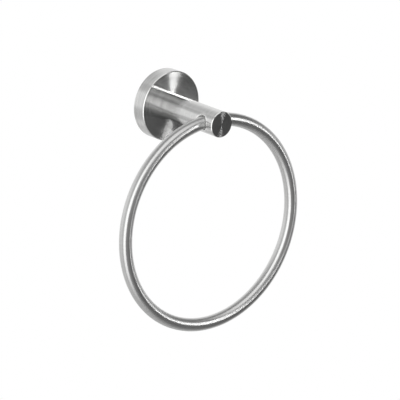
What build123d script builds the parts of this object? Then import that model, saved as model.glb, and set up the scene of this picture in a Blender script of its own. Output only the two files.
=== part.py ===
"""Wall-mounted towel ring: a turned flange and post carrying a ring that swings in a cross bore.

Frame: the wall is the plane Y = 0, the post points along -Y, +Z is up and +X is to the right.
The origin is the centre of the flange's back, on the wall. All sizes are in millimetres.
"""
import os
from math import radians, sqrt, tan

from build123d import *

os.makedirs("parts", exist_ok=True)

# Flange: a turned cup that stands with its open side on the wall
flange_d = 54.0
flange_depth = 11.5
flange_wall = 3.5
flange_front_break = 0.5
flange_back_break = 0.3

# Post: a solid round bar held to the flange's front by a screw from behind
post_d = 20.0
projection = 72.0
post_end_break = 0.4
bore_to_end = 12.5
mouth_round = 0.5

# Ring: round rod bent to a closed hoop
ring_inside_d = 150.0
rod_d = 10.0
swing_play = 0.1

# Post screw: M6 button head with a hex socket, its head inside the cup
post_screw_d = 6.0
post_screw_length = 14.0
post_screw_head_d = 10.5
post_screw_head_h = 3.3
post_screw_crown_d = 6.4
post_screw_socket_af = 4.0
post_screw_socket_depth = 2.0
post_tap_run_out = 2.5
screw_clearance = 0.3

# Wall bracket: a disc screwed to the wall, which the cup slides over
bracket_t = 6.0
bracket_play = 0.15
bracket_opening_d = 16.0
bracket_edge_break = 0.3
wall_hole_spacing = 30.0
wall_hole_d = 4.6
wall_sink_d = 9.0
groove_depth = 1.7

# Grub screw: M4 with a cone point, up through the bottom of the cup's rim
grub_d = 4.0
grub_below_surface = 0.4
grub_tip_d = 0.8
grub_socket_af = 2.0
grub_socket_depth = 2.0
grub_from_wall = 3.6
grub_seat_gap = 0.03

thread_gap = 0.05
drill_point = 118.0

# Sizes that follow from those above
flange_r = flange_d / 2
cavity_r = flange_r - flange_wall
cavity_depth = flange_depth - flange_wall
post_r = post_d / 2
rod_r = rod_d / 2
ring_r = ring_inside_d / 2 + rod_r
ring_sag = ring_r - sqrt(ring_r**2 - post_r**2)
pivot_from_wall = projection - bore_to_end
bore_r = rod_r + ring_sag / 2 + swing_play
ring_centre_z = ring_sag / 2 - ring_r
post_screw_r = post_screw_d / 2
tap_r = post_screw_r + thread_gap
tap_depth = post_screw_length - flange_wall + post_tap_run_out
tap_end = flange_depth + tap_depth
tap_point = tap_end + tap_r / tan(radians(drill_point / 2))
head_back = cavity_depth - post_screw_head_h
screw_tip = cavity_depth + post_screw_length
screw_tip_break = post_screw_r * 0.15
bracket_r = cavity_r - bracket_play
wall_sink_depth = (wall_sink_d - wall_hole_d) / 2
groove_floor_r = bracket_r - groove_depth
grub_r = grub_d / 2
grub_hole_r = grub_r + thread_gap
grub_tip_r = grub_tip_d / 2
grub_apex = groove_floor_r + grub_seat_gap
grub_point = grub_apex + grub_tip_r
grub_cone_top = grub_apex + grub_r
grub_foot = flange_r - grub_below_surface
turning_axis = Axis((0, 0, 0), (0, 1, 0))
grub_axis = Axis((0, -grub_from_wall, 0), (0, 0, 1))
ring_axis = Axis((0, -pivot_from_wall, ring_centre_z), (0, 1, 0))

# The cup's half section, turned about the post's axis, and the tapped hole for the grub screw
with BuildPart() as wall_flange:
    with BuildSketch(Plane.XY):
        with BuildLine():
            Polyline(
                (post_screw_r + screw_clearance, -flange_depth),
                (flange_r - flange_front_break, -flange_depth),
                (flange_r, -flange_depth + flange_front_break),
                (flange_r, -flange_back_break),
                (flange_r - flange_back_break, 0),
                (cavity_r, 0),
                (cavity_r, -cavity_depth),
                (post_screw_r + screw_clearance, -cavity_depth),
                close=True,
            )
        make_face()
    revolve(axis=turning_axis)
    with BuildSketch(Plane.XY.offset(-flange_r - grub_r)):
        with Locations((0, -grub_from_wall)):
            Circle(grub_hole_r)
    extrude(amount=flange_wall + 2 * grub_r, mode=Mode.SUBTRACT)
wall_flange.part.label = "wall_flange"
export_step(wall_flange.part, "parts/wall_flange.step")

# The bar with its end edge broken, tapped from behind, and the cross bore with rounded mouths
with BuildPart() as post:
    with BuildSketch(Plane.YZ):
        with BuildLine():
            Polyline(
                (-tap_point, 0),
                (-tap_end, tap_r),
                (-flange_depth, tap_r),
                (-flange_depth, post_r),
                (-projection + post_end_break, post_r),
                (-projection, post_r - post_end_break),
                (-projection, 0),
                close=True,
            )
        make_face()
    revolve(axis=turning_axis)
    with BuildSketch(Plane.YZ):
        with Locations((-pivot_from_wall, 0)):
            Circle(bore_r)
    extrude(amount=post_d, both=True, mode=Mode.SUBTRACT)
    mouths = post.edges().filter_by(GeomType.BSPLINE)
    fillet(mouths, radius=mouth_round)
post.part.label = "post"
export_step(post.part, "parts/post.step")

# The hoop hangs straight down, its top set so that its curve clears the bore at every angle
with BuildPart() as ring:
    with BuildSketch(Plane.YZ):
        with Locations((-pivot_from_wall, ring_centre_z + ring_r)):
            Circle(rod_r)
    revolve(axis=ring_axis)
ring.part.label = "ring"
export_step(ring.part, "parts/ring.step")

# The disc behind the cup: grooved rim for the grub screw, two countersunk holes, open middle
with BuildPart() as wall_bracket:
    with BuildSketch(Plane.XY):
        with BuildLine():
            Polyline(
                (bracket_opening_d / 2, 0),
                (bracket_r, 0),
                (bracket_r, -grub_from_wall + groove_depth),
                (groove_floor_r, -grub_from_wall),
                (bracket_r, -grub_from_wall - groove_depth),
                (bracket_r, -bracket_t + bracket_edge_break),
                (bracket_r - bracket_edge_break, -bracket_t),
                (bracket_opening_d / 2, -bracket_t),
                close=True,
            )
        make_face()
    revolve(axis=turning_axis)
    with BuildSketch(Plane.XZ):
        with GridLocations(wall_hole_spacing, 0, 2, 1):
            Circle(wall_hole_d / 2)
    extrude(amount=bracket_t, mode=Mode.SUBTRACT)
    with BuildSketch(Plane.XZ.offset(bracket_t)):
        with GridLocations(wall_hole_spacing, 0, 2, 1):
            Circle(wall_sink_d / 2)
    extrude(amount=-wall_sink_depth, taper=45, mode=Mode.SUBTRACT)
wall_bracket.part.label = "wall_bracket"
export_step(wall_bracket.part, "parts/wall_bracket.step")

# The grub screw's cone stands in the bracket's groove and its socket faces down
with BuildPart() as flange_grub_screw:
    with BuildSketch(Plane.YZ):
        with BuildLine():
            Polyline(
                (-grub_from_wall, -grub_foot),
                (-grub_from_wall + grub_r, -grub_foot),
                (-grub_from_wall + grub_r, -grub_cone_top),
                (-grub_from_wall + grub_tip_r, -grub_point),
                (-grub_from_wall, -grub_point),
                close=True,
            )
        make_face()
    revolve(axis=grub_axis)
    with BuildSketch(Plane.XY.offset(-grub_foot)):
        with Locations((0, -grub_from_wall)):
            RegularPolygon(grub_socket_af / 2, 6, major_radius=False)
    extrude(amount=grub_socket_depth, mode=Mode.SUBTRACT)
flange_grub_screw.part.label = "flange_grub_screw"
export_step(flange_grub_screw.part, "parts/flange_grub_screw.step")

# The post screw's head bears on the inside of the cup's web and its shank runs into the post
with BuildPart() as post_screw:
    with BuildSketch(Plane.XY):
        with BuildLine():
            Polyline(
                (0, -head_back),
                (post_screw_crown_d / 2, -head_back),
                (post_screw_head_d / 2, -cavity_depth + post_screw_head_h / 4),
                (post_screw_head_d / 2, -cavity_depth),
                (post_screw_r, -cavity_depth),
                (post_screw_r, -screw_tip + screw_tip_break),
                (post_screw_r - screw_tip_break, -screw_tip),
                (0, -screw_tip),
                close=True,
            )
        make_face()
    revolve(axis=turning_axis)
    with BuildSketch(Plane.XZ.offset(head_back)):
        RegularPolygon(post_screw_socket_af / 2, 6, major_radius=False)
    extrude(amount=post_screw_socket_depth, mode=Mode.SUBTRACT)
post_screw.part.label = "post_screw"
export_step(post_screw.part, "parts/post_screw.step")
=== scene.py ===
from math import cos, pi, radians, sin

import bpy
from mathutils import Matrix, Vector


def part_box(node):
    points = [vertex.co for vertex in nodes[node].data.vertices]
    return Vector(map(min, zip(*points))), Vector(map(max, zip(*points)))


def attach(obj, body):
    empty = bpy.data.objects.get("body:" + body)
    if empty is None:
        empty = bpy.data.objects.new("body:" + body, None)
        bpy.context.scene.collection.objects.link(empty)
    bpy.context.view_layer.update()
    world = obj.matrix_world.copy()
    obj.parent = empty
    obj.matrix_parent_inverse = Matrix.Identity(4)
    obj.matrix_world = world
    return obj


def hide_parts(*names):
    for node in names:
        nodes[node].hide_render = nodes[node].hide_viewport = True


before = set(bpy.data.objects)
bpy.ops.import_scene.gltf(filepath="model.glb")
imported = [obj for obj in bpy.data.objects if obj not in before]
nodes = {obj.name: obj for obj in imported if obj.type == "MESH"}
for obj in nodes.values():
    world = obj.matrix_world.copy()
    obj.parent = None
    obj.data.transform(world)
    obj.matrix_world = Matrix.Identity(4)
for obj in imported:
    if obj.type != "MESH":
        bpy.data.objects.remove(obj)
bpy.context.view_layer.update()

# Sizes from the frame, in metres, with X to the right, Y into the wall and Z up
ring_low, ring_high = (Vector(corner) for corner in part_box("ring"))
RING_CENTRE = (ring_low + ring_high) / 2
RING_R = (ring_high.x - ring_low.x) / 2
ROD_R = (ring_high.y - ring_low.y) / 2
BORE_Y, BORE_Z = RING_CENTRE.y, ring_high.z - ROD_R
FLANGE_FRONT, FLANGE_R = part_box("wall_flange")[0][1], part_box("wall_flange")[1][0]
POST_END, POST_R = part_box("post")[0][1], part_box("post")[1][0]

WHITE = (1, 1, 1, 1)


class Graph:
    """Shorthand for wiring the shader nodes of a material or a world."""

    def __init__(self, owner):
        owner.use_nodes = True
        self.tree = owner.node_tree
        self.tree.nodes.clear()

    def add(self, kind, **values):
        node = self.tree.nodes.new(kind)
        for name, value in values.items():
            setattr(node, name, value)
        return node

    def feed(self, socket, value):
        """Links a socket to another one, or gives it a constant."""
        if isinstance(value, bpy.types.NodeSocket):
            self.tree.links.new(value, socket)
        else:
            socket.default_value = value

    def fill(self, node, *values):
        """Feeds a node's first sockets in turn."""
        for socket, value in zip(node.inputs, values):
            self.feed(socket, value)
        return node

    def wire(self, node, values):
        """Feeds a node's sockets by name."""
        for name, value in values.items():
            self.feed(node.inputs[name], value)
        return node

    def coordinates(self, kind):
        return self.add("ShaderNodeTexCoord").outputs[kind]

    def split(self, vector):
        return self.fill(self.add("ShaderNodeSeparateXYZ"), vector).outputs

    def join(self, x, y, z):
        return self.fill(self.add("ShaderNodeCombineXYZ"), x, y, z).outputs[0]

    def math(self, operation, a, b=0.0):
        return self.fill(self.add("ShaderNodeMath", operation=operation), a, b).outputs[0]

    def product(self, value, *factors):
        for factor in factors:
            value = self.math("MULTIPLY", value, factor)
        return value

    def dim(self, level, dark):
        """A level that falls to 0 where dark is 1."""
        return self.product(level, self.math("SUBTRACT", 1.0, dark))

    def length(self, a, b):
        return self.math("SQRT", self.math("ADD", self.product(a, a), self.product(b, b)))

    def ramp(self, value, low, high, to_low=0.0, to_high=1.0):
        """A smooth step of value from low to high."""
        node = self.add("ShaderNodeMapRange", interpolation_type="SMOOTHSTEP")
        return self.fill(node, value, low, high, to_low, to_high).outputs[0]

    def noise(self, vector, scale, roughness, detail=3.0):
        values = {"Vector": vector, "Scale": scale, "Detail": detail, "Roughness": roughness}
        return self.wire(self.add("ShaderNodeTexNoise"), values).outputs["Fac"]

    def colour(self, factor, first, second):
        """A colour that goes from first to second."""
        values = {"Factor": factor, "A": first, "B": second}
        return self.wire(self.add("ShaderNodeMix", data_type="RGBA"), values).outputs["Result"]

    def blend(self, factor, first, second):
        """A shader that goes from first to second."""
        return self.fill(self.add("ShaderNodeMixShader"), factor, first.outputs[0], second.outputs[0])

    def show(self, output, shader):
        self.feed(self.add(output).inputs["Surface"], shader.outputs[0])


def ray_kinds(g):
    """Rays from the camera, and rays that metal or glass sends on."""
    path = g.add("ShaderNodeLightPath").outputs
    return path["Is Camera Ray"], g.math("MAXIMUM", path["Is Glossy Ray"], path["Is Transmission Ray"])


# Studio: a white backdrop behind, a dark room in front, a broad softbox at the left and a light overhead.
# A pair named for X, Y or Z is a soft edge in that part of a direction. A triple is a window of angles, in
# degrees: its centre, its half width and the softness of its edges.
# From the room in front to the backdrop behind
BACK_Y = (-0.72, 0.35)
# The room: its lower half darkens to the right, its upper half is even, and a gleam comes from the lower left
FRONT_X, FRONT_LEFT, FRONT_RIGHT = (0.0, 0.55), 0.26, 0.08
FRONT_Z, FRONT_HIGH = (-0.3, 0.35), 0.32
GLEAM_X, GLEAM_Z, GLEAM = (-0.3, 0.12), (-0.85, -0.45), 0.22
# What is left of the light above, below and straight down
CEILING_Z, CEILING = (0.4, 0.95), 0.33
GROUND_Z, GROUND = (-0.5, -0.15), 0.85
NADIR_Z, NADIR = (-0.97, -0.85), 0.6
# Dark at the upper right and the lower right, and in the gap between the softbox and the backdrop
CORNER_X, CORNER_Y, CORNER_Z, CORNER_DARK = (0.1, 0.6), (0.15, 0.5), (0.1, 0.35), 0.92
UNDER_X, UNDER_Y, UNDER_Z, UNDER_DARK = (0.0, 0.45), (-0.1, 0.3), (-0.75, -0.35), 0.5
GAP_AZ, GAP_DARK = (-100.0, 14.0, 10.0), 0.2
# Two grey bands on the backdrop's left half, by their angle about the Y axis
UPPER_BAND, UPPER_DARK = (129.0, 14.0, 8.0), 0.3
LOWER_BAND, LOWER_DARK = (-143.0, 21.0, 8.0), 0.28
BANDS_Y = (0.35, 0.6)
# The lights, by azimuth and elevation or by direction
SOFTBOX_AZ, SOFTBOX_EL, SOFTBOX = (-57.0, 20.5, 4.0), (5.0, 50.0, 12.0), 1.7
OVERHEAD_AT, OVERHEAD = (0.0, -0.37, 0.93), 1.1
OVERHEAD_EDGE, OVERHEAD_CORE = radians(35.0), radians(21.0)
# Levels at which the metal sees the backdrop itself
OPEN_BACK = (0.9, 1.0)


def window(g, angle, centre, half, soft):
    """1 within half of the centre, fading to 0 over the soft edge; centre, half and soft in degrees."""
    away = g.math("ABSOLUTE", g.math("SUBTRACT", angle, radians(centre)))
    return g.ramp(away, radians(half - soft), radians(half + soft), 1.0, 0.0)


def room_level(g, x, y, z, azimuth):
    """The light of the room in a direction, without the softbox and the light overhead."""
    front = g.ramp(z, *FRONT_Z, g.ramp(x, *FRONT_X, FRONT_LEFT, FRONT_RIGHT), FRONT_HIGH)
    gleam = g.product(g.ramp(x, *GLEAM_X, 1.0, 0.0), g.ramp(z, *GLEAM_Z, GLEAM, 0.0))
    front = g.math("ADD", front, gleam)
    room = g.math("ADD", g.dim(g.ramp(y, *BACK_Y), front), front)
    room = g.product(room, g.ramp(z, *CEILING_Z, 1.0, CEILING), g.ramp(z, *GROUND_Z, GROUND, 1.0))
    corner = g.product(
        g.ramp(x, *CORNER_X), g.ramp(z, *CORNER_Z), g.ramp(y, *CORNER_Y, 1.0, 0.0), CORNER_DARK
    )
    under = g.product(
        g.ramp(x, *UNDER_X), g.ramp(z, *UNDER_Z, 1.0, 0.0), g.ramp(y, *UNDER_Y, 1.0, 0.0), UNDER_DARK
    )
    gap = g.product(window(g, azimuth, *GAP_AZ), GAP_DARK)
    for dark in (corner, under, gap):
        room = g.dim(room, dark)
    room = g.product(room, g.ramp(z, *NADIR_Z, NADIR, 1.0))
    around = g.math("ARCTAN2", z, x)
    upper = g.product(window(g, around, *UPPER_BAND), UPPER_DARK)
    lower = g.product(window(g, around, *LOWER_BAND), LOWER_DARK)
    return g.dim(room, g.product(g.math("MAXIMUM", upper, lower), g.ramp(y, *BANDS_Y)))


def light_studio(world):
    """Lights the world by direction; the camera itself sees plain white."""
    g = Graph(world)
    toward = g.coordinates("Generated")
    x, y, z = g.split(toward)
    azimuth = g.math("ARCTAN2", x, g.product(y, -1.0))
    elevation = g.math("ARCSINE", z)
    room = room_level(g, x, y, z, azimuth)
    softbox = g.product(window(g, azimuth, *SOFTBOX_AZ), window(g, elevation, *SOFTBOX_EL), SOFTBOX)
    facing = g.fill(g.add("ShaderNodeVectorMath", operation="DOT_PRODUCT"), toward, OVERHEAD_AT)
    overhead = g.ramp(facing.outputs["Value"], cos(OVERHEAD_EDGE), cos(OVERHEAD_CORE), 0.0, OVERHEAD)
    level = g.math("MAXIMUM", room, g.math("MAXIMUM", softbox, overhead))
    studio = g.fill(g.add("ShaderNodeBackground"), WHITE, level)
    backdrop = g.fill(g.add("ShaderNodeBackground"), WHITE, 1.0)
    camera_ray, mirror_ray = ray_kinds(g)
    open_back = g.product(mirror_ray, g.ramp(room, *OPEN_BACK))
    g.show("ShaderNodeOutputWorld", g.blend(g.math("MAXIMUM", camera_ray, open_back), studio, backdrop))


world = bpy.data.worlds.new("studio")
bpy.context.scene.world = world
light_studio(world)

# Strip lamp: tall and narrow, in front at the right, where it draws the bow-tie on the turned faces
LAMP_AWAY, LAMP_AZ, LAMP_EL = 2.5, radians(39.2), radians(11.5)
LAMP_WIDE, LAMP_HIGH, LAMP_RADIANCE = 0.32, 1.6, 8.8
spot = Vector((sin(LAMP_AZ) * cos(LAMP_EL), -cos(LAMP_AZ) * cos(LAMP_EL), sin(LAMP_EL))) * LAMP_AWAY
lamp = bpy.data.lights.new("strip", "AREA")
lamp.shape = "RECTANGLE"
lamp.size, lamp.size_y = LAMP_WIDE, LAMP_HIGH
lamp.energy = LAMP_RADIANCE * pi * lamp.size * lamp.size_y
strip = bpy.data.objects.new("strip", lamp)
bpy.context.scene.collection.objects.link(strip)
strip.matrix_world = Matrix.Translation(spot) @ spot.to_track_quat("Z", "Y").to_matrix().to_4x4()
strip.visible_camera = False

# Floor: a pale disc below, which fades into the backdrop
FLOOR_Y, FLOOR_Z, FLOOR_R, FLOOR_SIDES = 0.36, -0.75, 0.6, 96
FLOOR_FADE = (0.3, 0.58)
FLOOR_COLOUR, FLOOR_GLOW = (0.4, 0.4, 0.4, 1), 0.3


def floor_pale():
    material = bpy.data.materials.new("floor_pale")
    g = Graph(material)
    far = g.fill(g.add("ShaderNodeVectorMath", operation="LENGTH"), g.coordinates("Object"))
    diffuse = g.fill(g.add("ShaderNodeBsdfDiffuse"), FLOOR_COLOUR)
    glow = g.fill(g.add("ShaderNodeEmission"), WHITE, g.product(g.math("MAXIMUM", *ray_kinds(g)), FLOOR_GLOW))
    lit = g.fill(g.add("ShaderNodeAddShader"), diffuse.outputs[0], glow.outputs[0])
    clear = g.add("ShaderNodeBsdfTransparent")
    g.show("ShaderNodeOutputMaterial", g.blend(g.ramp(far.outputs["Value"], *FLOOR_FADE), lit, clear))
    return material


bpy.ops.mesh.primitive_circle_add(
    vertices=FLOOR_SIDES, radius=FLOOR_R, fill_type="NGON", location=(0, FLOOR_Y, FLOOR_Z)
)
floor = bpy.context.object
floor.name = "floor"
floor.data.materials.append(floor_pale())

# Brushed steel: each noise has a scale, per metre, and a roughness
LINES, STREAKS, CLOUDS = (2600.0, 0.6), (700.0, 0.7), (60.0, 0.55)
STREAK_SPAN = (0.3, 0.7)
GRAIN_SPAN, GRAIN_LOW, GRAIN_HIGH = (0.25, 0.75), 0.92, 1.08
LINE_HEIGHT = 0.0001
WARMTH = 0.005
# Pale tone for edges worn bright and for the painted highlight around the bore's mouths
WEAR_AND_HIGHLIGHT_TONE = (0.86, 0.86, 0.85, 1)
ALONG, ACROSS = 0.0, 0.25


def steel(name, grey, finish, anisotropy, turn, grooves, depth, streak):
    """Brushed stainless steel. finish gives the roughness at a point and how far it is worn bright or carries
    a painted highlight, and grooves the coordinates in which the brush lines are stretched, in metres. turn
    is the angle from the tangent about the Y axis to the spread of the highlights, as a share of a full turn.
    depth is the strength of the lines' relief, and streak how much the tone varies from line to line."""
    material = bpy.data.materials.new(name)
    g = Graph(material)
    point = g.coordinates("Object")
    xyz = g.split(point)
    stretched = grooves(g, *xyz)
    lines = g.noise(stretched, *LINES)
    streaks = g.noise(stretched, *STREAKS)
    clouds = g.noise(point, *CLOUDS)
    colour = (grey, grey, grey - WARMTH)
    dull, fresh = ((*[c * change for c in colour], 1) for change in (1.0 - streak, 1.0 + streak))
    tone = g.colour(g.ramp(streaks, *STREAK_SPAN), dull, fresh)
    # How far each point is worn bright or carries a painted highlight
    rough, wear_and_highlight = finish(g, *xyz)
    grain = g.product(g.math("ADD", lines, clouds), 0.5)
    bump = g.wire(g.add("ShaderNodeBump"), {"Strength": depth, "Distance": LINE_HEIGHT, "Height": lines})
    shader = g.wire(g.add("ShaderNodeBsdfPrincipled"), {
        "Base Color": g.colour(wear_and_highlight, tone, WEAR_AND_HIGHLIGHT_TONE),
        "Metallic": 1.0,
        "Roughness": g.product(rough, g.ramp(grain, *GRAIN_SPAN, GRAIN_LOW, GRAIN_HIGH)),
        "Anisotropic": anisotropy,
        "Anisotropic Rotation": turn,
        "Tangent": g.add("ShaderNodeTangent", direction_type="RADIAL", axis="Y").outputs[0],
        "Normal": bump.outputs[0],
    })
    g.show("ShaderNodeOutputMaterial", shader)
    return material


# Brush lines: a small drift along a line's own length stretches it
TURNED_DRIFT = 0.0012
ROD_DRIFT = 0.05


def turned(g, x, y, z):
    """Lathe lines about the post's axis: they are crossed by going out from the axis and along it."""
    out = g.length(x, z)
    around = [g.product(g.math("DIVIDE", c, out), TURNED_DRIFT) for c in (x, z)]
    return g.join(g.math("ADD", out, y), *around)


def round_rod(g, x, y, z):
    """Lines around the ring's rod: they are crossed by going round the ring."""
    turn = g.math("ARCTAN2", x, g.math("SUBTRACT", z, RING_CENTRE.z))
    return g.join(g.product(turn, RING_R), g.product(y, ROD_DRIFT), 0.0)


# Finishes: the roughness at a point, and how far it is worn bright or painted bright as a highlight. Lengths
# are in metres, and those of the bore's mouths are distances from its axis.
FACE_ROUGH, RIM_ROUGH = 0.2, 0.16
END_ROUGH, SIDE_ROUGH, MOUTH_ROUGH = 0.13, 0.12, 0.4
FRONT_FLAT, FRONT_BLEND = 2e-5, 1e-4
EDGE, EDGE_WORN = 0.0004, 0.6
# Around the bore's mouths: a rougher fillet, then a pale band of colour that is a painted highlight and also
# lightens the shade between the rod and the mouth
MOUTH_FROM, MOUTH_TO, MOUTH_HIGHLIGHT_TO = ROD_R + 0.0006, ROD_R + 0.0012, ROD_R + 0.0026
MOUTH_HIGHLIGHT = 0.9


def even(roughness):
    """The same finish all over."""
    return lambda g, x, y, z: (roughness, 0.0)


def front_and_side(g, y, front_y, front, side):
    """One roughness on a flat front and another behind it."""
    return g.ramp(y, front_y + FRONT_FLAT, front_y + FRONT_BLEND, front, side)


def worn_edge(g, x, y, z, radius, front_y):
    """Worn on the rounded edge between a turned side and the flat front, fading over its neighbours."""
    inward = g.math("SUBTRACT", radius, g.length(x, z))
    behind = g.math("SUBTRACT", y, front_y)
    return g.product(g.ramp(g.math("ADD", inward, behind), EDGE, 2 * EDGE, 1.0, 0.0), EDGE_WORN)


def flange_finish(g, x, y, z):
    """A turned face, a finer brushed rim and an edge worn bright."""
    rough = front_and_side(g, y, FLANGE_FRONT, FACE_ROUGH, RIM_ROUGH)
    return rough, worn_edge(g, x, y, z, FLANGE_R, FLANGE_FRONT)


def post_finish(g, x, y, z):
    """A crisp turned side and end, with a worn bright edge at the end and a painted highlight in pale colour
    around the bore's mouths.
    """
    away = g.length(g.math("SUBTRACT", y, BORE_Y), g.math("SUBTRACT", z, BORE_Z))
    side = g.ramp(away, MOUTH_FROM, MOUTH_TO, MOUTH_ROUGH, SIDE_ROUGH)
    rough = front_and_side(g, y, POST_END, END_ROUGH, side)
    # Painted highlight: pale colour around each bore's mouth, in place of the light caught there
    mouth_highlight = g.ramp(away, MOUTH_TO, MOUTH_HIGHLIGHT_TO, MOUTH_HIGHLIGHT, 0.0)
    return rough, g.math("MAXIMUM", mouth_highlight, worn_edge(g, x, y, z, POST_R, POST_END))


# Ring: a finer mesh of the same rod, for clean reflections
HOOP_ROUNDS, HOOP_SIDES = 540, 60


def hoop(name, centre, radius, rod):
    """A ring of round rod about the Y axis."""
    points, quads = [], []
    for i in range(HOOP_ROUNDS):
        a = 2 * pi * i / HOOP_ROUNDS
        here, after = i * HOOP_SIDES, (i + 1) % HOOP_ROUNDS * HOOP_SIDES
        for j in range(HOOP_SIDES):
            b = 2 * pi * j / HOOP_SIDES
            out = radius + rod * cos(b)
            points.append((centre.x + out * sin(a), centre.y + rod * sin(b), centre.z + out * cos(a)))
            k = (j + 1) % HOOP_SIDES
            quads.append((here + j, here + k, after + k, after + j))
    mesh = bpy.data.meshes.new(name)
    mesh.from_pydata(points, [], quads)
    mesh.shade_smooth()
    piece = bpy.data.objects.new(name, mesh)
    bpy.context.scene.collection.objects.link(piece)
    return piece


ring = hoop("ring_rod", RING_CENTRE, RING_R - ROD_R, ROD_R)
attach(ring, "swing_ring")
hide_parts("ring")

# Steel of each piece
flange_steel = steel("flange_steel", 0.64, flange_finish, 1.0, ACROSS, turned, depth=0.01, streak=0.13)
post_steel = steel("post_steel", 0.65, post_finish, 1.0, ACROSS, turned, depth=0.01, streak=0.06)
ring_steel = steel("ring_steel", 0.67, even(0.32), 0.86, ALONG, round_rod, depth=0.0, streak=0.03)
bracket_steel = steel("bracket_steel", 0.5, even(0.4), 0.7, ACROSS, turned, depth=0.03, streak=0.1)
screw_steel = steel("screw_steel", 0.48, even(0.35), 0.4, ACROSS, turned, depth=0.02, streak=0.1)
for name, material in (
    ("wall_flange", flange_steel),
    ("post", post_steel),
    ("ring", ring_steel),
    ("wall_bracket", bracket_steel),
    ("flange_grub_screw", screw_steel),
    ("post_screw", screw_steel),
):
    mesh = nodes[name].data
    mesh.materials.clear()
    mesh.materials.append(material)
ring.data.materials.append(ring_steel)

# Camera: a long lens at the upper left, at the place and angle that were fitted to the photograph
FOCAL_PX, PICTURE_PX = 5000.0, 400.0
SENSOR, CLIP_END = 36.0, 100.0
EYE = Vector((-2.272657, -2.83064, 1.072025))
AZ, EL, ROLL = radians(-39.24), radians(17.562), radians(1.113)
look = Vector((-sin(AZ) * cos(EL), cos(AZ) * cos(EL), -sin(EL)))
side = look.cross(Vector((0, 0, 1))).normalized()
top = side.cross(look)
side, top = side * cos(ROLL) + top * sin(ROLL), top * cos(ROLL) - side * sin(ROLL)
lens = bpy.data.cameras.new("camera")
lens.sensor_width = SENSOR
lens.lens = FOCAL_PX * SENSOR / PICTURE_PX
lens.clip_end = CLIP_END
camera = bpy.data.objects.new("camera", lens)
bpy.context.scene.collection.objects.link(camera)
camera.matrix_world = Matrix.Translation(EYE) @ Matrix((side, top, -look)).transposed().to_4x4()
bpy.context.scene.camera = camera
bpy.context.scene.view_settings.view_transform = "Standard"
